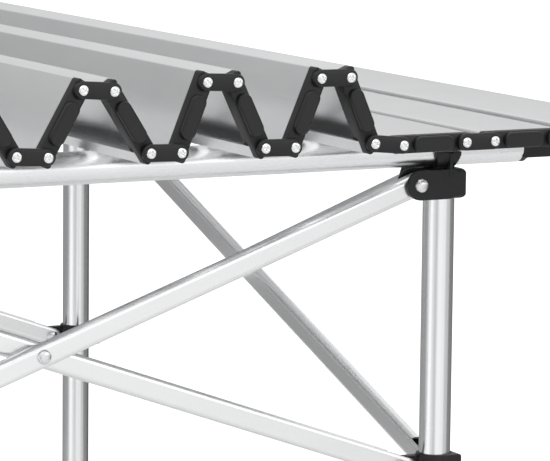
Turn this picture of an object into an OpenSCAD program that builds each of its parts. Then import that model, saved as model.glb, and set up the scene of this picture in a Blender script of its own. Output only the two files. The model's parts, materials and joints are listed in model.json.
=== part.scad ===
// Roll-top folding table: a slatted aluminium top on two loose rails, carried by four
// tube legs that fold together on a scissor frame.
// X runs along the rails, Y along the slats, Z up. The origin is on the floor, in the
// middle of the frame. The top is drawn with most of its slats still folded in a zigzag.

/* [Frame] */
// Distance between the leg centres, along X and along Y
leg_span = 520; // [400:5:640]
// Height of the tabletop above the floor
top_h = 700; // [640:5:760]
// Height of the upper arm pivots below the tabletop
pivot_drop = 40; // [38:1:60]
// Height of the upper arm pivots above the slider pivots
arm_drop = 172; // [120:1:240]

/* [Tubes] */
// Outer diameter of the legs and the rails
tube_d = 19; // [16:0.5:24]
// Wall of the legs and the rails
tube_wall = 1.2; // [0.8:0.1:2]
// Length of a rail beyond the leg centres, at each end
rail_over = 53; // [40:1:80]

/* [Arms] */
// Height of the flat-oval arm tube
arm_h = 14; // [10:0.5:17]
// Thickness of the arm tube
arm_t = 8.5; // [7:0.5:9]
// Wall of the arm tube
arm_wall = 1.2; // [0.8:0.1:1.6]
// Free space between two crossed arms, filled by a washer
arm_gap = 1; // [0.8:0.1:2]
// Diameter of the arm rivets
rivet_d = 5; // [4:0.5:6]
// Diameter of the domed rivet heads
rivet_head_d = 8.6; // [7.5:0.1:10]
// Height of the domed rivet heads
rivet_head_h = 2.2; // [1.5:0.1:3]

/* [Brackets and sliders] */
// Height of a top bracket
bracket_h = 18; // [16:0.5:22]
// Wall of the bracket on the two outer faces of the leg
bracket_wall = 2.5; // [2:0.1:4]
// Thickness of the ears that hold an arm
ear_t = 2.7; // [2:0.1:3.5]
// Length of the rail cradle along the rail
cradle_len = 17; // [12:0.5:24]
// Wall of the rail cradle
cradle_wall = 2.4; // [1.8:0.1:3.5]
// Height of a slider
slider_h = 17; // [14:0.5:22]
// Wall of the slider collar next to the arms
collar_wall = 1.4; // [1:0.1:2.5]
// Height of a foot
foot_h = 32; // [20:1:50]
// Wall of a foot
foot_wall = 2; // [1.5:0.1:4]

/* [Top] */
// Length of the tabletop along the slats, end caps included
top_len = 700; // [580:5:800]
// Distance between the two pins of a slat
slat_pins = 41; // [36:0.5:46]
// Distance between the two pins of a link
link_pins = 18.5; // [17:0.5:22]
// Distance between the two pins of the links next to the end slats
end_link_pins = 22.5; // [20:0.5:26]
// Thickness of a slat
slat_t = 10; // [9:0.5:12]
// Edge of a slat beyond its pins
slat_over = 5.2; // [4.5:0.1:5.5]
// Outer edge of an end slat beyond its unused pin place
end_over = 15; // [8:0.5:20]
// Wall of the slat channel
slat_wall = 1.2; // [0.8:0.1:1.6]
// Width of the two lips under the slat channel
slat_lip = 8; // [4:0.5:12]
// Thickness of the plastic end caps
cap_t = 6; // [4:0.5:10]
// Length of the raised pad on an end cap
pad_len = 26; // [20:0.5:28]
// Height of the raised pad
pad_h = 8.8; // [7:0.1:9]
// Width of the link bars
link_w = 9.6; // [8:0.1:10]
// Thickness of the link bars and pads
link_t = 3; // [2:0.1:4]
// Diameter of the screw heads
screw_head_d = 6; // [5:0.1:7]
// Height of the screw heads
screw_head_h = 1.5; // [1:0.1:2]
// Diameter of the screws
screw_d = 3; // [2.5:0.1:4]

/* [Fits] */
// Radial clearance of rivets and screws in their holes
pin_play = 0.06; // [0.02:0.01:0.1]
// Clearance of parts that slide or turn past each other
slide_play = 0.3; // [0.2:0.05:0.4]
// Clearance between separate pieces that stay together
seat_play = 0.05; // [0.02:0.01:0.1]
// Clearance between the flat slats and the rails
rest_play = 1.2; // [0.8:0.1:2]

/* [Hidden] */
$fn = 48;
LEGS = ["front_right", "back_right", "back_left", "front_left"];
SIDES = ["front", "right", "back", "left"];
// Slopes of the slats and the links from left to right, in degrees, in the half-folded top
SLAT_TILT = [2.5, 54, -58, 60, -57.5, 68, -64.5, 67, -67, 0, 0, 0];
LINK_TILT = [7, 0, -3.5, -4, -1.5, -2.5, -1, -0.5, -5.5, 0, 0];
// The slat that the two ends of the top fold towards, and the distance of its right pin
// from the leg centres
BASE = 9;
BASE_INSET = 36;

tube_r = tube_d / 2;
bore_r = tube_r + slide_play;
rivet_r = rivet_d / 2;
rivet_hole_r = rivet_r + pin_play;
screw_r = screw_d / 2;
screw_hole_r = screw_r + pin_play;
// An arm's round end turns just outside the slider collar.
pivot_out = bore_r + collar_wall + slide_play + arm_h / 2;
pivot_h = top_h - pivot_drop;
slider_z = pivot_h - arm_drop;
pin_h = top_h - slat_t / 2;
rail_h = top_h - slat_t - rest_play - tube_r;
arm_plane = (arm_t + arm_gap) / 2;
arm_run = leg_span - 2 * pivot_out;
arm_len = sqrt(arm_run * arm_run + arm_drop * arm_drop);
arm_tilt = atan(arm_drop / arm_run);
slot_half = arm_t / 2 + slide_play;
ear_r = bracket_h / 2;
block_in = pivot_out - arm_h / 2 - slide_play;
block_out = tube_r + bracket_wall;
lug_t = arm_t - 2 * arm_wall - 2 * slide_play;
cap_face = top_len / 2;
rail_end_x = leg_span / 2 + rail_over;
slat_count = len(SLAT_TILT);
last = slat_count - 1;
right_edge = base_x() + link_len(BASE) + slat_pins + link_len(BASE + 1) + slat_pins + end_over;

// ---- Plain shapes ----

// Rectangle with round corners, from corner a to corner b
module round_rect(a, b, r) {
    translate([a[0] + r, a[1]]) square([b[0] - a[0] - 2 * r, b[1] - a[1]]);
    translate([a[0], a[1] + r]) square([b[0] - a[0], b[1] - a[1] - 2 * r]);
    for (x = [a[0] + r, b[0] - r], y = [a[1] + r, b[1] - r]) translate([x, y]) circle(r);
}

// Bar with round ends, from point x = 0 to point x = len
module stadium(len, r) {
    circle(r);
    translate([len, 0]) circle(r);
    translate([0, -r]) square([len, 2 * r]);
}

// Extrudes an outline drawn in X and Z along Y, from y0 to y1
module along_y(y0, y1) {
    translate([0, y1, 0]) rotate([90, 0, 0]) linear_extrude(y1 - y0) children();
}

// Cylinder along Y, from y0 to y1
module rod_y(r, y0, y1) {
    translate([0, y1, 0]) rotate([90, 0, 0]) cylinder(h = y1 - y0, r = r);
}

// Low dome on a flat base at z = 0
module dome(d, h) {
    ball_r = (d * d / 4 + h * h) / (2 * h);
    intersection() {
        translate([0, 0, h - ball_r]) sphere(ball_r, $fn = 64);
        cylinder(h = h, d = d);
    }
}

// Rivet along Y with domed heads outside y0 and y1
module rivet(y0, y1) {
    rod_y(rivet_r, y0 - seat_play, y1 + seat_play);
    translate([0, y0 - seat_play, 0]) rotate([90, 0, 0]) dome(rivet_head_d, rivet_head_h);
    translate([0, y1 + seat_play, 0]) rotate([-90, 0, 0]) dome(rivet_head_d, rivet_head_h);
}

// Places a piece of the front right leg at leg k, counted round the frame
module at_leg(k) {
    rotate([0, 0, 90 * k]) translate([leg_span / 2, -leg_span / 2, 0]) children();
}

// Places a piece of the front side at side k, counted round the frame
module at_side(k) {
    rotate([0, 0, 90 * k]) children();
}

// ---- Legs ----

module leg(k) {
    color("silver") at_leg(k) translate([0, 0, foot_wall]) difference() {
        cylinder(h = pivot_h + bracket_h / 2 - bracket_wall - foot_wall, r = tube_r);
        translate([0, 0, -1]) cylinder(h = pivot_h + bracket_h, r = tube_r - tube_wall);
    }
}

module foot(k) {
    color("dimgray") at_leg(k) difference() {
        union() {
            cylinder(h = foot_h, r = tube_r + foot_wall);
            cylinder(h = foot_h / 4, r = tube_r + foot_wall + 1);
        }
        translate([0, 0, foot_wall]) cylinder(h = foot_h, r = tube_r);
    }
}

// ---- Top brackets ----

// Ear that stands out along -X, between y0 and y1, with a hole for the rivet
module ear(y0, y1) {
    difference() {
        translate([-pivot_out, 0, 0]) along_y(y0, y1) stadium(pivot_out, ear_r);
        translate([-pivot_out, 0, 0]) rod_y(rivet_hole_r, y0 - 1, y1 + 1);
    }
}

// The two ears of one arm, on both sides of the plane y = arm_y
module ear_pair(arm_y) {
    ear(arm_y - slot_half - ear_t, arm_y - slot_half);
    ear(arm_y + slot_half, arm_y + slot_half + ear_t);
}

// Open trough along X that the rail lies in
module cradle() {
    rise = rail_h - pivot_h;
    outer_r = bore_r + cradle_wall;
    neck_w = cradle_len * 2 / 3;
    neck_t = tube_r * 1.6;
    rib_w = 2;
    rib_out = 1.2;
    difference() {
        intersection() {
            union() {
                translate([-cradle_len / 2, 0, rise]) rotate([0, 90, 0])
                    cylinder(h = cradle_len, r = outer_r);
                translate([-cradle_len / 2, -neck_t / 2, bracket_h / 2 - 1])
                    cube([cradle_len, neck_t, rise - bracket_h / 2]);
            }
            along_y(-2 * tube_r, 2 * tube_r) polygon([
                [-neck_w / 2, bracket_h / 2 - 1], [neck_w / 2, bracket_h / 2 - 1],
                [cradle_len / 2, rise - 2], [cradle_len / 2, rise],
                [-cradle_len / 2, rise], [-cradle_len / 2, rise - 2]
            ]);
        }
        translate([-cradle_len, 0, rise]) rotate([0, 90, 0])
            cylinder(h = 2 * cradle_len, r = bore_r);
    }
    translate([0, -block_out - rib_out, ear_r / 2])
        cube([rib_w, 2 * rib_out, rise - ear_r / 2 - 1]);
}

module bracket(k) {
    turn = 90 * (k % 2);
    color("#202124") at_leg(k) translate([0, 0, pivot_h]) {
        difference() {
            union() {
                intersection() {
                    along_y(-block_out, block_in)
                        round_rect([-block_in, -ear_r], [block_out, ear_r], 3);
                    rotate([0, 0, 90]) along_y(-block_out, block_in)
                        round_rect([-block_out, -ear_r], [block_in, ear_r], 3);
                }
                ear_pair(-arm_plane);
                mirror([1, 1, 0]) ear_pair(arm_plane);
            }
            translate([0, 0, -bracket_h]) cylinder(h = bracket_h * 1.5 - bracket_wall, r = tube_r);
            arm_room(-arm_plane);
            mirror([1, 1, 0]) arm_room(arm_plane);
        }
        rotate([0, 0, turn]) cradle();
    }
}

// Space that an arm needs between its ears, beside the bracket block
module arm_room(arm_y) {
    translate([-pivot_out - ear_r - 1, arm_y - slot_half, -bracket_h])
        cube([pivot_out + ear_r + 1 - block_in, 2 * slot_half, 2 * bracket_h]);
}

// ---- Sliders ----

// Lug that stands out along -X and fits inside the forked end of an arm
module lug(arm_y) {
    difference() {
        translate([-pivot_out, 0, 0]) along_y(arm_y - lug_t / 2, arm_y + lug_t / 2)
            stadium(pivot_out, arm_h / 2);
        translate([-pivot_out, 0, 0]) rod_y(rivet_hole_r, arm_y - lug_t, arm_y + lug_t);
    }
}

module slider(k) {
    color("#202124") at_leg(k) translate([0, 0, slider_z]) difference() {
        union() {
            translate([0, 0, -slider_h / 2]) cylinder(h = slider_h, r = bore_r + collar_wall);
            rotate([90, 0, 0]) translate([0, 0, -0.01])
                linear_extrude(block_out + 0.01)
                    round_rect([0, -slider_h / 2], [block_out, slider_h / 2], 1.5);
            lug(arm_plane);
            mirror([1, 1, 0]) lug(-arm_plane);
        }
        translate([0, 0, -slider_h]) cylinder(h = 2 * slider_h, r = bore_r);
    }
}

// ---- Scissor arms ----

// Arm along +X from its upper pivot to its lower pivot, centred on y = 0. The lower end
// is cut into two cheeks that straddle a slider's lug.
module arm_bar() {
    end_r = arm_h / 2;
    inner_t = arm_t - 2 * arm_wall;
    inner_h = arm_h - 2 * arm_wall;
    difference() {
        intersection() {
            along_y(-arm_t / 2, arm_t / 2) stadium(arm_len, end_r);
            translate([-arm_h, 0, 0]) rotate([90, 0, 90]) linear_extrude(arm_len + 2 * arm_h)
                round_rect([-arm_t / 2, -arm_h / 2], [arm_t / 2, arm_h / 2], arm_t * 0.4);
        }
        translate([-2 * arm_h, 0, 0]) rotate([90, 0, 90]) linear_extrude(arm_len + 4 * arm_h)
            round_rect([-inner_t / 2, -inner_h / 2], [inner_t / 2, inner_h / 2], inner_t * 0.35);
        translate([arm_len - arm_h * 1.1, -inner_t / 2, -arm_h])
            cube([arm_h * 3, inner_t, 2 * arm_h]);
        for (x = [0, arm_len / 2, arm_len])
            translate([x, 0, 0]) rod_y(rivet_hole_r, -arm_t, arm_t);
    }
}

// Places a piece drawn in the arm's own frame: the outer arm runs down from the right
// leg of its side, the inner arm from the left leg
module place_arm(outer) {
    flip = outer ? 1 : -1;
    translate([flip * arm_run / 2, -leg_span / 2 - flip * arm_plane, pivot_h])
        rotate([0, 0, outer ? 180 : 0]) rotate([0, arm_tilt, 0]) children();
}

module arm(k, outer) {
    color("silver") at_side(k) place_arm(outer) arm_bar();
}

// The rivets that ride with one arm. The outer arm also holds the crossing rivet and the
// washer between the arms.
module arm_rivets(k, outer) {
    half = arm_t / 2;
    ears = slot_half + ear_t;
    color("gainsboro") at_side(k) place_arm(outer) {
        rivet(-ears, ears);
        translate([arm_len, 0, 0]) rivet(-half, half);
        if (outer) {
            translate([arm_len / 2, 0, 0]) rivet(-half - arm_gap - arm_t, half);
            translate([arm_len / 2, 0, 0]) difference() {
                rod_y(rivet_head_d / 2, -half - arm_gap + seat_play, -half - seat_play);
                rod_y(rivet_hole_r, -half - 2 * arm_gap, -half + arm_gap);
            }
        }
    }
}

// ---- Rails ----

module rail(side) {
    color("silver") translate([-rail_end_x, side * leg_span / 2, rail_h]) rotate([0, 90, 0])
        difference() {
            cylinder(h = 2 * rail_end_x, r = tube_r);
            translate([0, 0, -1]) cylinder(h = 2 * rail_end_x + 2, r = tube_r - tube_wall);
        }
}

// Plug, collar and tongue at the right end of a rail; the tongue runs out under the end slat
module rail_end() {
    plug_len = 25;
    collar_len = 4;
    tongue_drop = 6.5;
    tongue_w = tube_d - 1;
    rotate([0, 90, 0]) translate([0, 0, -plug_len])
        cylinder(h = plug_len + 1, r = tube_r - tube_wall - seat_play);
    translate([seat_play, 0, 0]) rotate([0, 90, 0]) cylinder(h = collar_len, r = tube_r);
    translate([seat_play, -tongue_w / 2, -tongue_drop])
        cube([right_edge - rail_end_x - seat_play, tongue_w, tongue_drop + tube_r * 0.9]);
}

module rail_ends(side) {
    color("#202124") for (turn = [0, 180])
        translate([0, side * leg_span / 2, rail_h]) rotate([0, 0, turn])
            translate([rail_end_x, 0, 0]) rail_end();
}

// ---- Slats and links ----

function dir(tilt) = [cos(tilt), sin(tilt)];
function base_x() = leg_span / 2 - BASE_INSET;
function link_len(k) = (k == 0 || k == slat_count - 2) ? end_link_pins : link_pins;
function right_pin(k) =
    k == BASE ? [base_x(), pin_h]
    : k < BASE ? left_pin(k + 1) - link_len(k) * dir(LINK_TILT[k])
    : left_pin(k) + slat_pins * dir(SLAT_TILT[k]);
function left_pin(k) =
    k <= BASE ? right_pin(k) - slat_pins * dir(SLAT_TILT[k])
    : right_pin(k - 1) + link_len(k - 1) * dir(LINK_TILT[k - 1]);

// Puts a piece at a point of the X-Z plane, turned to a slope
module place(point, tilt) {
    translate([point[0], 0, point[1]]) rotate([0, -tilt, 0]) children();
}

// Aluminium channel with two inward lips, from its left edge x0 to its right edge x1
module panel(x0, x1) {
    half = slat_t / 2;
    reach = cap_face - cap_t - seat_play;
    along_y(-reach, reach) difference() {
        round_rect([x0, -half], [x1, half], 1.5);
        translate([x0 + slat_wall, slat_wall - half])
            square([x1 - x0 - 2 * slat_wall, slat_t - 2 * slat_wall]);
        translate([x0 + slat_lip, -half - 1]) square([x1 - x0 - 2 * slat_lip, half]);
    }
}

// Plastic end cap at the front end of a slat, with its raised pad and its screw holes
module end_cap(x0, x1, pins) {
    half = slat_t / 2;
    plug_reach = 14;
    middle = (x0 + x1) / 2;
    pad = pad_len + (x1 - x0) - (slat_pins + 2 * slat_over);
    difference() {
        union() {
            along_y(-cap_face, -cap_face + cap_t) round_rect([x0, -half], [x1, half], 2);
            along_y(-cap_face, -cap_face + plug_reach) round_rect(
                [x0 + slat_wall + seat_play, slat_wall + seat_play - half],
                [x1 - slat_wall - seat_play, half - slat_wall - seat_play], 1);
            translate([middle - pad / 2 + pad_h / 2, 0, 0])
                along_y(-cap_face - link_t, -cap_face) stadium(pad - pad_h, pad_h / 2);
        }
        for (x = pins) translate([x, 0, 0]) rod_y(screw_hole_r, -cap_face - 1, -cap_face + 10);
    }
}

module slat(k) {
    x0 = k == 0 ? -end_over : -slat_over;
    x1 = slat_pins + (k == last ? end_over : slat_over);
    pins = k == 0 ? [slat_pins] : k == last ? [0] : [0, slat_pins];
    place(left_pin(k), SLAT_TILT[k]) {
        color("lightgray") panel(x0, x1);
        color("#202124") for (end = [0, 1]) mirror([0, end, 0]) end_cap(x0, x1, pins);
    }
}

// Cross-head screw along +Y, with its head outside the link bar
module screw() {
    face = -cap_face - slide_play - link_t - seat_play;
    rod_y(screw_r, face - 0.01, -cap_face + 9);
    translate([0, face, 0]) rotate([90, 0, 0]) dome(screw_head_d, screw_head_h);
}

module link(k) {
    len = link_len(k);
    place(right_pin(k), LINK_TILT[k]) for (end = [0, 1]) mirror([0, end, 0]) {
        color("#202124") difference() {
            along_y(-cap_face - slide_play - link_t, -cap_face - slide_play)
                stadium(len, link_w / 2);
            for (x = [0, len]) translate([x, 0, 0])
                rod_y(screw_hole_r, -cap_face - 2 * link_t, -cap_face + 1);
        }
        color("gainsboro") for (x = [0, len]) translate([x, 0, 0]) screw();
    }
}

leg(0);  // leg_front_right
leg(1);  // leg_back_right
leg(2);  // leg_back_left
leg(3);  // leg_front_left
foot(0);  // foot_front_right
foot(1);  // foot_back_right
foot(2);  // foot_back_left
foot(3);  // foot_front_left
bracket(0);  // bracket_front_right
bracket(1);  // bracket_back_right
bracket(2);  // bracket_back_left
bracket(3);  // bracket_front_left
slider(0);  // slider_front_right
slider(1);  // slider_back_right
slider(2);  // slider_back_left
slider(3);  // slider_front_left
arm(0, true);  // arm_front_outer
arm(1, true);  // arm_right_outer
arm(2, true);  // arm_back_outer
arm(3, true);  // arm_left_outer
arm(0, false);  // arm_front_inner
arm(1, false);  // arm_right_inner
arm(2, false);  // arm_back_inner
arm(3, false);  // arm_left_inner
arm_rivets(0, true);  // rivets_front_outer
arm_rivets(1, true);  // rivets_right_outer
arm_rivets(2, true);  // rivets_back_outer
arm_rivets(3, true);  // rivets_left_outer
arm_rivets(0, false);  // rivets_front_inner
arm_rivets(1, false);  // rivets_right_inner
arm_rivets(2, false);  // rivets_back_inner
arm_rivets(3, false);  // rivets_left_inner
rail(-1);  // rail_front
rail(1);  // rail_back
rail_ends(-1);  // rail_ends_front
rail_ends(1);  // rail_ends_back
slat(0);  // slat_01
slat(1);  // slat_02
slat(2);  // slat_03
slat(3);  // slat_04
slat(4);  // slat_05
slat(5);  // slat_06
slat(6);  // slat_07
slat(7);  // slat_08
slat(8);  // slat_09
slat(9);  // slat_10
slat(10);  // slat_11
slat(11);  // slat_12
link(0);  // link_01
link(1);  // link_02
link(2);  // link_03
link(3);  // link_04
link(4);  // link_05
link(5);  // link_06
link(6);  // link_07
link(7);  // link_08
link(8);  // link_09
link(9);  // link_10
link(10);  // link_11
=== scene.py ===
import json
import math

import bmesh
import bpy
from mathutils import Matrix, Vector

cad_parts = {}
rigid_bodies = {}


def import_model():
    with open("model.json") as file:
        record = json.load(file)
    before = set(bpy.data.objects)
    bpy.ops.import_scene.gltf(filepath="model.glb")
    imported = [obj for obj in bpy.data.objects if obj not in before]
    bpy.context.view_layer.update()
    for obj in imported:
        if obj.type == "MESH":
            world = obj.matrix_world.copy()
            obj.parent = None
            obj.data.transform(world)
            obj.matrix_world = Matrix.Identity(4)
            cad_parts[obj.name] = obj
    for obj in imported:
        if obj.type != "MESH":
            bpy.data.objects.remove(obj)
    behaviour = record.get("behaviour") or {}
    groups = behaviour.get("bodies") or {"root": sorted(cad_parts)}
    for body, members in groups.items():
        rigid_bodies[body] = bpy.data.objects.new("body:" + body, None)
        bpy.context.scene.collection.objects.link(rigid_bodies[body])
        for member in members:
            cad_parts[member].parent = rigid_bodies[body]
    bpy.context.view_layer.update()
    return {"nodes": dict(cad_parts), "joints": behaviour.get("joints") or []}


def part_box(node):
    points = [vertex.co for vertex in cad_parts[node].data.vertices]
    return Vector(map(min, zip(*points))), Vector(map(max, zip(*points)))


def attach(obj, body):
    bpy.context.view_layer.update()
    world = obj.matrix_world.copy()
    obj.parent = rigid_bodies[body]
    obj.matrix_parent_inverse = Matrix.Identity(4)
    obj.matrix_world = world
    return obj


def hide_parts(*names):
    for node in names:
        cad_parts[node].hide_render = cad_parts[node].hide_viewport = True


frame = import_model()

# ---- Sizes in metres, as in the CAD source ----

MM = 0.001
SLAT_T = 10 * MM            # thickness of a slat
SLAT_WALL = 1.2 * MM        # wall of the slat channel
SLAT_LIP = 8 * MM           # width of the two lips under the channel
SLAT_OVER = 5.2 * MM        # edge of a slat beyond its pins
SLAT_PINS = 41 * MM         # distance between the two pins of a slat
END_OVER = 15 * MM          # outer edge of an end slat beyond its unused pin place
CAP_T = 6 * MM              # thickness of an end cap
CAP_PLUG = 14 * MM          # how far an end cap reaches from its face into the channel
PAD_LEN = 26 * MM           # length of the raised pad
PAD_H = 8.8 * MM            # height of the raised pad
LINK_W = 9.6 * MM           # width of a link bar
LINK_T = 3 * MM             # thickness of link bars and pads
SLIDE = 0.3 * MM            # clearance of sliding parts
SEAT = 0.05 * MM            # clearance of seated parts
SCREW_HEAD = 6 * MM         # diameter of a screw head
SCREW_RISE = 1.5 * MM       # height of a screw head
RIVET_D = 5 * MM            # diameter of a rivet
RIVET_HEAD = 8.6 * MM       # diameter of a rivet head
RIVET_RISE = 2.2 * MM       # height of a rivet head
ARM_T = 8.5 * MM            # thickness of an arm tube
ARM_GAP = 1 * MM            # space between two crossed arms
EAR_T = 2.7 * MM            # thickness of a bracket ear
FOOT_H = 32 * MM            # height of a foot
FOOT_WALL = 2 * MM          # wall of a foot
FOOT_RIBS = 5               # number of grip ribs round a foot
FOOT_RIB_STEP = 4 * MM      # distance from one grip rib to the next
FINE_VOXEL = 0.45 * MM      # voxel of a small moulding
COARSE_VOXEL = 0.5 * MM     # voxel of a large moulding
CAP_SOFT = 0.5 * MM         # soft edge of an end cap
CAP_CORNER = 2 * MM         # corner radius of an end cap
PLUG_CORNER = 1 * MM        # corner radius of the plug of an end cap
KNOB = 1.9 * MM             # radius of the knobs at the corners of an end cap
CROSS_W = 0.55 * MM         # half the width of a screw's cross recess
CROSS_ARM = 1.9 * MM        # length of each arm of the cross recess
CROSS_DEPTH = 0.9 * MM      # depth of the cross recess
PIN = 1.5 * MM              # radius of a screw's shank
PIN_REACH = 9 * MM          # how far a screw reaches in from the face of its cap
WELD = 0.002 * MM           # points closer than this are one point

LEGS = ["front_right", "back_right", "back_left", "front_left"]
SIDES = ["front", "right", "back", "left"]
SLATS = sorted(name for name in frame["nodes"] if name.startswith("slat_"))
LINKS = sorted(name for name in frame["nodes"] if name.startswith("link_"))
JOINTS = {(j["parent"], j["child"]): j for j in frame["joints"]}


# ---- Places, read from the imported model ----

def pin_between(a, b):
    """The joint between two bodies of the top, as a point of the X-Z plane."""
    joint = JOINTS.get((a, b)) or JOINTS[(b, a)]
    x, _, z = joint["pos_m"]
    return Vector((x, 0, z))


def centre_of(node):
    low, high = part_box(node)
    return (low + high) / 2


def frame_at(point, along):
    """Matrix that puts local X along a direction of the X-Z plane, with its origin at a point."""
    tilt = math.atan2(along.z, along.x)
    return Matrix.Translation(point) @ Matrix.Rotation(-tilt, 4, "Y")


def slat_frame(index):
    """Matrix of a slat, from its left pin place with local X towards its right one."""
    name = SLATS[index]
    middle = centre_of(name)
    middle.y = 0
    if index == 0:
        right = pin_between(LINKS[0], name)
        along = (right - middle).normalized()
        return frame_at(right - along * SLAT_PINS, along)
    left = pin_between(LINKS[index - 1], name)
    if index == len(SLATS) - 1:
        return frame_at(left, middle - left)
    right = pin_between(LINKS[index], name)
    return frame_at(left, right - left)


CAP_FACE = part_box(SLATS[5])[1].y - LINK_T        # outer face of the end caps
TOP_PIVOT = Vector(JOINTS[("leg_front_right", "arm_front_outer")]["pos_m"])
FOOT_PIVOT = Vector(JOINTS[("arm_front_outer", "slider_front_left")]["pos_m"])
LEG_OUT = centre_of("leg_front_right").x
ARM_PLANE = -LEG_OUT - TOP_PIVOT.y
ARM_LEN = (TOP_PIVOT - FOOT_PIVOT).length
ARM_DIP = math.atan2(TOP_PIVOT.z - FOOT_PIVOT.z, TOP_PIVOT.x - FOOT_PIVOT.x)


def arm_frame(side, outer):
    """Matrix of an arm: local X runs down from its upper pivot, and local Y is across it."""
    if outer:
        place = Matrix.Translation(TOP_PIVOT) @ Matrix.Rotation(math.pi, 4, "Z")
    else:
        # Known fault: this is the outer arms' plane, 9.5 mm too far out.
        # The inner arms lie at ARM_PLANE - LEG_OUT.
        place = Matrix.Translation((-TOP_PIVOT.x, -LEG_OUT - ARM_PLANE, TOP_PIVOT.z))
    turn = Matrix.Rotation(side * math.pi / 2, 4, "Z")
    return turn @ place @ Matrix.Rotation(ARM_DIP, 4, "Y")


# ---- Outlines in the X-Z plane ----

def round_rect(x0, z0, x1, z1, radius, steps=5):
    """Points of a rectangle with round corners, counter-clockwise."""
    points = []
    for x, z, start in ((x1, z1, 0), (x0, z1, 90), (x0, z0, 180), (x1, z0, 270)):
        cx = x - radius if x == x1 else x + radius
        cz = z - radius if z == z1 else z + radius
        for step in range(steps + 1):
            angle = math.radians(start + 90 * step / steps)
            points.append((cx + radius * math.cos(angle), cz + radius * math.sin(angle)))
    return points


def stadium(x0, x1, radius, steps=14):
    """Points of a bar with round ends centred on x0 and x1, counter-clockwise."""
    points = []
    for cx, start in ((x1, -90), (x0, 90)):
        for step in range(steps + 1):
            angle = math.radians(start + 180 * step / steps)
            points.append((cx + radius * math.cos(angle), radius * math.sin(angle)))
    return points


def circle(cx, radius, steps=40):
    """Points of a circle, counter-clockwise."""
    angles = [2 * math.pi * step / steps for step in range(steps)]
    return [(cx + radius * math.cos(a), radius * math.sin(a)) for a in angles]


# ---- Meshes ----

def loft(mesh, sections):
    """Closed skin through outlines with the same number of points; sections are (outline, y)."""
    rings = [[mesh.verts.new((x, y, z)) for x, z in outline] for outline, y in sections]
    for ring, following in zip(rings, rings[1:]):
        for i in range(len(ring)):
            k = (i + 1) % len(ring)
            mesh.faces.new((ring[i], ring[k], following[k], following[i]))
    mesh.faces.new(rings[0])
    mesh.faces.new(list(reversed(rings[-1])))


def mirror_ends(mesh):
    """Adds the same shapes at the other end of the slats."""
    copy = bmesh.ops.duplicate(mesh, geom=mesh.verts[:] + mesh.edges[:] + mesh.faces[:])
    moved = [v for v in copy["geom"] if isinstance(v, bmesh.types.BMVert)]
    bmesh.ops.scale(mesh, verts=moved, vec=(1, -1, 1))


def piece(name, mesh, matrix, body, node, material, crease=35):
    """Makes a piece that stands for a CAD node and rides on its body."""
    bmesh.ops.recalc_face_normals(mesh, faces=mesh.faces)
    for face in mesh.faces:
        face.smooth = True
    for edge in mesh.edges:
        if len(edge.link_faces) == 2 and edge.calc_face_angle() > math.radians(crease):
            edge.smooth = False
    data = bpy.data.meshes.new(name)
    mesh.to_mesh(data)
    mesh.free()
    data.transform(matrix)
    data.materials.append(material)
    thing = bpy.data.objects.new(name, data)
    bpy.context.scene.collection.objects.link(thing)
    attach(thing, body)
    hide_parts(node)


# ---- Materials ----

def new_material(name):
    material = bpy.data.materials.new(name)
    material.use_nodes = True
    nodes = material.node_tree.nodes
    shader = nodes["Principled BSDF"]
    return material, nodes, material.node_tree.links, shader


def grain(nodes, links, stretch, scale, detail=4.0):
    """Noise in the piece's own coordinates, stretched to a grain along one axis."""
    coords = nodes.new("ShaderNodeTexCoord")
    mapping = nodes.new("ShaderNodeMapping")
    mapping.inputs["Scale"].default_value = stretch
    noise = nodes.new("ShaderNodeTexNoise")
    noise.inputs["Scale"].default_value = scale
    noise.inputs["Detail"].default_value = detail
    links.new(coords.outputs["Object"], mapping.inputs["Vector"])
    links.new(mapping.outputs["Vector"], noise.inputs["Vector"])
    return noise.outputs["Fac"]


def ramp(nodes, links, value, low, high):
    """Maps a 0-1 value to a range."""
    node = nodes.new("ShaderNodeMapRange")
    node.inputs["From Min"].default_value = 0.3
    node.inputs["From Max"].default_value = 0.7
    node.inputs["To Min"].default_value = low
    node.inputs["To Max"].default_value = high
    links.new(value, node.inputs["Value"])
    return node.outputs["Result"]


def tint(nodes, links, value, dark, light):
    """Colour between a dark and a light tone by a value."""
    mix = nodes.new("ShaderNodeMix")
    mix.data_type = "RGBA"
    mix.inputs[6].default_value = (*dark, 1)
    mix.inputs[7].default_value = (*light, 1)
    links.new(value, mix.inputs[0])
    return mix.outputs[2]


def add_bump(nodes, links, shader, value, strength, distance):
    bump = nodes.new("ShaderNodeBump")
    bump.inputs["Strength"].default_value = strength
    bump.inputs["Distance"].default_value = distance
    links.new(value, bump.inputs["Height"])
    links.new(bump.outputs["Normal"], shader.inputs["Normal"])


def metal(name, dark, light, rough, stretch, scale, strength, distance):
    """Bare or anodised metal with a fine grain and slightly uneven gloss."""
    material, nodes, links, shader = new_material(name)
    shader.inputs["Metallic"].default_value = 1.0
    fine = grain(nodes, links, stretch, scale)
    cloudy = grain(nodes, links, (1, 1, 1), 18.0, 2.0)
    links.new(tint(nodes, links, cloudy, dark, light), shader.inputs["Base Color"])
    links.new(ramp(nodes, links, fine, rough[0], rough[1]), shader.inputs["Roughness"])
    add_bump(nodes, links, shader, fine, strength, distance)
    return material


def plastic(name, dark, light, rough, scale, strength, distance):
    """Moulded plastic or rubber with a fine eroded grain."""
    material, nodes, links, shader = new_material(name)
    shader.inputs["Specular IOR Level"].default_value = 0.32
    fine = grain(nodes, links, (1, 1, 1), scale)
    cloudy = grain(nodes, links, (1, 1, 1), 60.0, 3.0)
    links.new(tint(nodes, links, cloudy, dark, light), shader.inputs["Base Color"])
    links.new(ramp(nodes, links, cloudy, rough[0], rough[1]), shader.inputs["Roughness"])
    add_bump(nodes, links, shader, fine, strength, distance)
    return material


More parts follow.
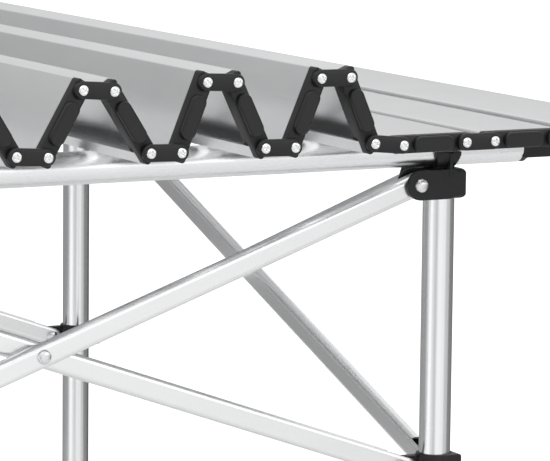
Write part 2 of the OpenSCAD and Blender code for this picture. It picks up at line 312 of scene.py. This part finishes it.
BRUSHED = metal("brushed_slat", (0.74, 0.745, 0.755), (0.80, 0.805, 0.81), (0.28, 0.38),
                (1, 0.012, 1), 2400, 0.10, 0.00004)
LEG_METAL = metal("anodised_leg", (0.80, 0.81, 0.82), (0.87, 0.875, 0.88), (0.20, 0.27),
                  (1, 1, 0.02), 1800, 0.05, 0.00003)
RAIL_METAL = metal("anodised_rail", (0.80, 0.81, 0.82), (0.87, 0.875, 0.88), (0.24, 0.32),
                   (0.02, 1, 1), 1800, 0.05, 0.00003)
ARM_METAL = metal("anodised_arm", (0.82, 0.825, 0.83), (0.88, 0.885, 0.89), (0.27, 0.31),
                  (1, 1, 1), 2600, 0.02, 0.00001)
RIVET_METAL = metal("rivet_metal", (0.70, 0.70, 0.71), (0.82, 0.82, 0.83), (0.20, 0.32),
                    (1, 1, 1), 900, 0.10, 0.00005)
SCREW_METAL = metal("screw_chrome", (0.80, 0.80, 0.80), (0.88, 0.88, 0.88), (0.14, 0.22),
                    (1, 1, 1), 900, 0.05, 0.00004)
BLACK = plastic("black_plastic", (0.009, 0.009, 0.010), (0.015, 0.015, 0.016), (0.36, 0.48),
                2200, 0.18, 0.00006)
RUBBER = plastic("foot_rubber", (0.014, 0.014, 0.014), (0.024, 0.024, 0.025), (0.62, 0.78),
                 1500, 0.25, 0.0001)
CAD_FINISH = {"leg": LEG_METAL, "arm": ARM_METAL, "rail": RAIL_METAL}    # shown as CAD has them


# ---- Slats ----

def channel_outline(x0, x1):
    """Outline of the aluminium channel: round top edges and two lips below."""
    half = SLAT_T / 2
    outer = round_rect(x0, -half, x1, half, 1.5 * MM, 6)
    steps = len(outer) // 4
    top_right, top_left, bottom_left, bottom_right = (outer[i * steps:(i + 1) * steps] for i in range(4))
    inner_x0, inner_x1 = x0 + SLAT_WALL, x1 - SLAT_WALL
    floor_z, roof_z = SLAT_WALL - half, half - SLAT_WALL
    return [
        *top_right, *top_left, *bottom_left,
        (x0 + SLAT_LIP, -half), (x0 + SLAT_LIP, floor_z), (inner_x0, floor_z), (inner_x0, roof_z),
        (inner_x1, roof_z), (inner_x1, floor_z), (x1 - SLAT_LIP, floor_z), (x1 - SLAT_LIP, -half),
        *bottom_right,
    ]


def add_cap(mesh, x0, x1):
    """Front end cap: a plate with soft edges, a plug, a raised pad and corner knobs."""
    half = SLAT_T / 2
    face = -CAP_FACE
    soft = CAP_SOFT

    def plate(inset):
        return round_rect(x0 + inset, inset - half, x1 - inset, half - inset, CAP_CORNER - inset)

    loft(mesh, [(plate(soft), face), (plate(soft * 0.3), face + soft * 0.3), (plate(0), face + soft),
                (plate(0), face + CAP_T - soft * 0.4), (plate(soft * 0.4), face + CAP_T)])
    play = SLAT_WALL + SEAT
    plug = round_rect(x0 + play, play - half, x1 - play, half - play, PLUG_CORNER)
    loft(mesh, [(plug, face + CAP_T - soft), (plug, face + CAP_PLUG)])
    pad = PAD_LEN + (x1 - x0) - (SLAT_PINS + 2 * SLAT_OVER)
    middle = (x0 + x1) / 2
    reach = (pad - PAD_H) / 2

    def pad_ring(inset):
        return stadium(middle - reach, middle + reach, PAD_H / 2 - inset)

    top = face - LINK_T
    loft(mesh, [(pad_ring(1.1 * MM), top + 0.25 * MM), (pad_ring(0.8 * MM), top),
                (pad_ring(0.45 * MM), top + 0.08 * MM), (pad_ring(0.12 * MM), top + 0.4 * MM),
                (pad_ring(0), top + 0.9 * MM), (pad_ring(0), face + soft)])
    for x in (x0 + KNOB, x1 - KNOB):
        for z in (half - KNOB, KNOB - half):
            disc = [(px, pz + z) for px, pz in circle(x, KNOB, 20)]
            rim = [(px, pz + z) for px, pz in circle(x, KNOB - 0.4 * MM, 20)]
            loft(mesh, [(rim, face - 0.9 * MM), (disc, face - 0.5 * MM), (disc, face + soft)])


def make_slat(index):
    name = SLATS[index]
    matrix = slat_frame(index)
    x0 = -END_OVER if index == 0 else -SLAT_OVER
    x1 = SLAT_PINS + (END_OVER if index == len(SLATS) - 1 else SLAT_OVER)
    reach = CAP_FACE - CAP_T - SEAT
    panel = bmesh.new()
    loft(panel, [(channel_outline(x0, x1), -reach), (channel_outline(x0, x1), reach)])
    piece(name + "_panel", panel, matrix, name, name, BRUSHED, 25)
    caps = bmesh.new()
    add_cap(caps, x0, x1)
    mirror_ends(caps)
    piece(name + "_caps", caps, matrix, name, name, BLACK)


# ---- Links and screws ----

def add_link_bar(mesh, length):
    """Front link bar with soft edges, a crowned face and a raised ring round each screw."""
    back = -CAP_FACE - SLIDE
    face = back - LINK_T

    def ring(inset):
        return stadium(0, length, LINK_W / 2 - inset)

    loft(mesh, [(ring(3.2 * MM), face + 0.02 * MM), (ring(1.8 * MM), face + 0.12 * MM),
                (ring(0.7 * MM), face + 0.3 * MM), (ring(0.2 * MM), face + 0.6 * MM),
                (ring(0), face + 1.1 * MM), (ring(0), back - 0.3 * MM), (ring(0.25 * MM), back)])
    for x in (0, length):
        loft(mesh, [(circle(x, 3.3 * MM), face), (circle(x, 4.0 * MM), face),
                    (circle(x, 4.25 * MM), face + 0.25 * MM), (circle(x, 4.25 * MM), face + 1 * MM)])


def cross_depth(x, z):
    """Depth of the cross recess of a screw head at a point of its face."""
    a, b = abs(x), abs(z)
    if a > b:
        a, b = b, a
    if b > CROSS_ARM or a > CROSS_W:
        return 0.0
    side = min(1.0, (CROSS_W - a) / (0.2 * MM))
    end = min(1.0, (CROSS_ARM - b) / (0.7 * MM))
    return CROSS_DEPTH * side * end


def add_screw(mesh, x, turn):
    """Cross-head screw at the front end, with its head outside the link bar."""
    face = -CAP_FACE - SLIDE - LINK_T - SEAT
    radius = SCREW_HEAD / 2
    rings, steps = 22, 56
    rows = []
    for ring in range(1, rings + 1):
        share = ring / rings
        row = []
        for step in range(steps):
            angle = 2 * math.pi * step / steps
            px, pz = radius * share * math.cos(angle), radius * share * math.sin(angle)
            rise = SCREW_RISE * (1 - share ** 4) ** 0.5 * 0.999
            fx = px * math.cos(turn) + pz * math.sin(turn)
            fz = pz * math.cos(turn) - px * math.sin(turn)
            row.append(mesh.verts.new((x + px, face - rise + cross_depth(fx, fz), pz)))
        rows.append(row)
    centre = mesh.verts.new((x, face - SCREW_RISE + cross_depth(0, 0), 0))
    for step in range(steps):
        following = (step + 1) % steps
        mesh.faces.new((centre, rows[0][step], rows[0][following]))
        for inner, outer in zip(rows, rows[1:]):
            mesh.faces.new((inner[step], outer[step], outer[following], inner[following]))
    mesh.faces.new(rows[-1])
    shank = circle(x, PIN, 24)
    loft(mesh, [(shank, face - 0.1 * MM), (shank, PIN_REACH - CAP_FACE)])


def make_link(index):
    name = LINKS[index]
    left = pin_between(SLATS[index], name)
    right = pin_between(name, SLATS[index + 1])
    matrix = frame_at(left, right - left)
    length = (right - left).length
    bars = bmesh.new()
    add_link_bar(bars, length)
    mirror_ends(bars)
    piece(name + "_bars", bars, matrix, name, name, BLACK, 40)
    screws = bmesh.new()
    add_screw(screws, 0, math.radians(23 + 37 * index))
    add_screw(screws, length, math.radians(61 + 53 * index))
    mirror_ends(screws)
    piece(name + "_screws", screws, matrix, name, name, SCREW_METAL, 50)


# ---- Rivets ----

def add_rivet(mesh, x, y0, y1):
    """Rivet along Y with a domed head and a thin rim at each end."""
    rim = 0.25 * MM
    radius = RIVET_HEAD / 2
    dome = [(math.cos(math.radians(a)), math.sin(math.radians(a))) for a in range(0, 90, 9)]
    for base, out in ((y0 - SEAT, -1), (y1 + SEAT, 1)):
        sections = [(circle(x, radius * 0.97), base), (circle(x, radius), base + out * rim * 0.5)]
        for across, up in dome:
            height = rim + (RIVET_RISE - rim) * up
            sections.append((circle(x, radius * (0.12 + 0.86 * across)), base + out * height))
        loft(mesh, sections)
    shank = circle(x, RIVET_D / 2)
    loft(mesh, [(shank, y0 - 2 * SEAT), (shank, y1 + 2 * SEAT)])


def make_rivets(side, outer):
    label = SIDES[side] + ("_outer" if outer else "_inner")
    half = ARM_T / 2
    ears = half + SLIDE + EAR_T
    mesh = bmesh.new()
    add_rivet(mesh, 0, -ears, ears)
    add_rivet(mesh, ARM_LEN, -half, half)
    if outer:
        add_rivet(mesh, ARM_LEN / 2, -half - ARM_GAP - ARM_T, half)
        washer = circle(ARM_LEN / 2, RIVET_HEAD / 2)
        loft(mesh, [(washer, -half - ARM_GAP + SEAT), (washer, -half - SEAT)])
    piece("rivets_" + label + "_heads", mesh, arm_frame(side, outer), "arm_" + label,
          "rivets_" + label, RIVET_METAL, 50)


# ---- Moulded parts made from the CAD solid, with soft edges ----

def moulded(node, body, voxel, rounds):
    """Copy of a CAD solid whose edges are softened, as a black plastic moulding's are."""
    mesh = bmesh.new()
    mesh.from_mesh(frame["nodes"][node].data)
    bmesh.ops.remove_doubles(mesh, verts=mesh.verts, dist=WELD)
    data = bpy.data.meshes.new(node + "_moulded")
    mesh.to_mesh(data)
    mesh.free()
    rough = bpy.data.objects.new(node + "_rough", data)
    bpy.context.scene.collection.objects.link(rough)
    remesh = rough.modifiers.new("remesh", "REMESH")
    remesh.mode = "VOXEL"
    remesh.voxel_size = voxel
    remesh.use_smooth_shade = True
    smooth = rough.modifiers.new("smooth", "SMOOTH")
    smooth.factor = 0.5
    smooth.iterations = rounds
    depsgraph = bpy.context.evaluated_depsgraph_get()
    result = bpy.data.meshes.new_from_object(rough.evaluated_get(depsgraph))
    bpy.data.objects.remove(rough)
    mesh = bmesh.new()
    mesh.from_mesh(result)
    piece(node + "_moulded", mesh, Matrix.Identity(4), body, node, BLACK, 60)


def lathe(mesh, centre, profile, steps=64):
    """Closed solid of revolution about Z; profile is (radius, z) from bottom to top."""
    rings = []
    for radius, z in profile:
        ring = []
        for step in range(steps):
            angle = 2 * math.pi * step / steps
            ring.append(mesh.verts.new((centre.x + radius * math.cos(angle),
                                        centre.y + radius * math.sin(angle), z)))
        rings.append(ring)
    for ring, following in zip(rings, rings[1:]):
        for i in range(steps):
            k = (i + 1) % steps
            mesh.faces.new((ring[i], ring[k], following[k], following[i]))
    mesh.faces.new(list(reversed(rings[0])))
    mesh.faces.new(rings[-1])


def make_foot(leg):
    """Rubber foot with a thick tread and grip ribs, hollow round the leg."""
    node = "foot_" + leg
    low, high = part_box(node)
    centre = (low + high) / 2
    wide = (high.x - low.x) / 2
    bore = (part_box("leg_" + leg)[1].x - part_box("leg_" + leg)[0].x) / 2
    wall = bore + FOOT_WALL
    profile = [(wide - 1.2 * MM, 0), (wide - 0.3 * MM, 0.4 * MM), (wide, 1.4 * MM),
               (wide, FOOT_H / 4 - 1 * MM), (wide - 0.4 * MM, FOOT_H / 4)]
    for rib in range(FOOT_RIBS):
        z = FOOT_H / 4 + 1.6 * MM + FOOT_RIB_STEP * rib
        profile += [(wall - 0.5 * MM, z), (wall, z + 0.8 * MM), (wall, z + 2.2 * MM),
                    (wall - 0.5 * MM, z + 3 * MM)]
    profile += [(wall - 0.6 * MM, FOOT_H - 0.6 * MM), (wall - 1 * MM, FOOT_H),
                (bore, FOOT_H), (bore, FOOT_WALL)]
    mesh = bmesh.new()
    lathe(mesh, centre, profile)
    piece(node + "_ribbed", mesh, Matrix.Identity(4), "leg_" + leg, node, RUBBER, 40)


# ---- The table ----

for index in range(len(SLATS)):
    make_slat(index)
for index in range(len(LINKS)):
    make_link(index)
for side in range(4):
    make_rivets(side, True)
    make_rivets(side, False)
for leg in LEGS:
    moulded("bracket_" + leg, "leg_" + leg, FINE_VOXEL, 5)
    moulded("slider_" + leg, "slider_" + leg, FINE_VOXEL, 3)
    make_foot(leg)
for side in ("front", "back"):
    moulded("rail_ends_" + side, "rail_" + side, COARSE_VOXEL, 4)

for name, thing in frame["nodes"].items():
    kind = name.split("_")[0]
    if kind in CAD_FINISH and not name.startswith("rail_ends"):
        thing.data.materials.clear()
        thing.data.materials.append(CAD_FINISH[kind])


# ---- Camera ----

CAMERA_AZIMUTH = -27.558    # degrees round the object from its near side
CAMERA_ELEVATION = 7.87     # degrees above the level
CAMERA_ROLL = 0.61          # degrees
CAMERA_PLACE = Vector((-0.84159, -2.16098, 0.93313))
CAMERA_LENS = 243.4         # focal length in mm, on a sensor 36 mm wide

def add_camera():
    azimuth = math.radians(CAMERA_AZIMUTH)
    elevation = math.radians(CAMERA_ELEVATION)
    roll = math.radians(CAMERA_ROLL)
    back = Vector((math.sin(azimuth) * math.cos(elevation),
                   -math.cos(azimuth) * math.cos(elevation), math.sin(elevation)))
    right = (-back).cross(Vector((0, 0, 1))).normalized()
    up = right.cross(-back)
    camera_x = math.cos(roll) * right + math.sin(roll) * up
    camera_y = math.cos(roll) * up - math.sin(roll) * right
    camera = bpy.data.objects.new("camera", bpy.data.cameras.new("camera"))
    camera.data.sensor_width = 36
    camera.data.lens = CAMERA_LENS
    camera.data.clip_end = 200
    turn = Matrix((camera_x, camera_y, back)).transposed().to_4x4()
    camera.matrix_world = Matrix.Translation(CAMERA_PLACE) @ turn
    bpy.context.scene.collection.objects.link(camera)
    bpy.context.scene.camera = camera


# ---- Studio ----

CARD_RING = 1.5             # distance of the cards from the middle of the table
CARD_LOW = -0.2             # lower edge of the cards
CARD_HIGH = 0.72            # upper edge of the cards
FLOOR_HALF = 40             # half the width of the floor
FLOOR_GLOW = 0.6            # light added to the floor where the camera sees it
CARDS = [                   # degrees from the camera where a card starts, and its grey
    (-180, 0.30), (-140, 0.32), (-72, 0.70), (-60, 1.25), (-26, 0.85), (-8, 0.60),
    (12, 1.05), (42, 0.96), (62, 0.60), (88, 0.22), (130, 0.12),
]
WORLD_UP = (0.25, -0.35, 0.90)    # direction in which the surroundings are brightest
WORLD_LOW = 0.38            # their strength away from it
WORLD_HIGH = 1.00           # their strength towards it


def add_area(name, place, target, width, height, power):
    light = bpy.data.lights.new(name, "AREA")
    light.shape = "RECTANGLE"
    light.size = width
    light.size_y = height
    light.energy = power
    thing = bpy.data.objects.new(name, light)
    thing.location = place
    aim = Vector(target) - Vector(place)
    thing.rotation_euler = aim.to_track_quat("-Z", "Y").to_euler()
    bpy.context.scene.collection.objects.link(thing)


def add_floor():
    """Wide pale floor, lit a little more where the camera sees it."""
    mesh = bmesh.new()
    bmesh.ops.create_grid(mesh, x_segments=2, y_segments=2, size=FLOOR_HALF)
    data = bpy.data.meshes.new("floor")
    mesh.to_mesh(data)
    mesh.free()
    material, nodes, links, shader = new_material("floor_white")
    speckle = grain(nodes, links, (1, 1, 1), 60.0)
    links.new(tint(nodes, links, speckle, (0.74, 0.74, 0.74), (0.78, 0.78, 0.78)),
              shader.inputs["Base Color"])
    shader.inputs["Roughness"].default_value = 0.9
    shader.inputs["Specular IOR Level"].default_value = 0.1
    shader.inputs["Emission Color"].default_value = (1, 1, 1, 1)
    path = nodes.new("ShaderNodeLightPath")
    glow = nodes.new("ShaderNodeMath")
    glow.operation = "MULTIPLY"
    glow.inputs[1].default_value = FLOOR_GLOW
    links.new(path.outputs["Is Camera Ray"], glow.inputs[0])
    links.new(glow.outputs[0], shader.inputs["Emission Strength"])
    data.materials.append(material)
    floor = bpy.data.objects.new("floor", data)
    bpy.context.scene.collection.objects.link(floor)


def add_card(name, start, end, grey):
    """Studio card on part of a ring round the object: only reflections show it."""
    mesh = bmesh.new()
    steps = 12
    columns = []
    for step in range(steps + 1):
        angle = math.radians(CAMERA_AZIMUTH + start + (end - start) * step / steps)
        x = CARD_RING * math.sin(angle)
        y = -CARD_RING * math.cos(angle)
        columns.append((mesh.verts.new((x, y, CARD_LOW)), mesh.verts.new((x, y, CARD_HIGH))))
    for first, second in zip(columns, columns[1:]):
        mesh.faces.new((first[0], second[0], second[1], first[1]))
    data = bpy.data.meshes.new(name)
    mesh.to_mesh(data)
    mesh.free()
    material = bpy.data.materials.new(name)
    material.use_nodes = True
    nodes = material.node_tree.nodes
    nodes.clear()
    glow = nodes.new("ShaderNodeEmission")
    glow.inputs["Color"].default_value = (grey, grey, grey, 1)
    output = nodes.new("ShaderNodeOutputMaterial")
    material.node_tree.links.new(glow.outputs["Emission"], output.inputs["Surface"])
    data.materials.append(material)
    card = bpy.data.objects.new(name, data)
    bpy.context.scene.collection.objects.link(card)
    card.visible_camera = False
    card.visible_diffuse = False
    card.visible_shadow = False
    card.visible_transmission = False


def add_cards():
    """Ring of cards, from behind the object round its left, the camera and its right."""
    ends = [start for start, _ in CARDS[1:]] + [180]
    for index, ((start, grey), end) in enumerate(zip(CARDS, ends)):
        add_card("card_" + str(index), start, end, grey)


def add_world():
    """Soft white studio: brighter above and in front, greyer low down and behind."""
    world = bpy.data.worlds.new("studio")
    bpy.context.scene.world = world
    world.use_nodes = True
    nodes, links = world.node_tree.nodes, world.node_tree.links
    background = nodes["Background"]
    background.inputs["Color"].default_value = (1, 1, 1, 1)
    coords = nodes.new("ShaderNodeTexCoord")
    facing = nodes.new("ShaderNodeVectorMath")
    facing.operation = "DOT_PRODUCT"
    facing.inputs[1].default_value = WORLD_UP
    links.new(coords.outputs["Generated"], facing.inputs[0])
    shade = nodes.new("ShaderNodeMapRange")
    shade.interpolation_type = "SMOOTHSTEP"
    shade.inputs["From Min"].default_value = -0.30
    shade.inputs["From Max"].default_value = 0.35
    shade.inputs["To Min"].default_value = WORLD_LOW
    shade.inputs["To Max"].default_value = WORLD_HIGH
    links.new(facing.outputs["Value"], shade.inputs["Value"])
    path = nodes.new("ShaderNodeLightPath")
    white = nodes.new("ShaderNodeMix")
    links.new(path.outputs["Is Camera Ray"], white.inputs[0])
    links.new(shade.outputs["Result"], white.inputs[2])
    white.inputs[3].default_value = 1.0
    links.new(white.outputs[0], background.inputs["Strength"])


add_camera()
add_floor()
add_world()
add_area("top_light", (-0.6, -0.9, 2.6), (0, 0, 0.6), 2.2, 2.2, 16)
add_area("front_right_light", (1.6, -2.6, 1.3), (0, 0, 0.6), 1.6, 1.8, 8)
add_cards()
bpy.context.scene.view_settings.view_transform = "Standard"
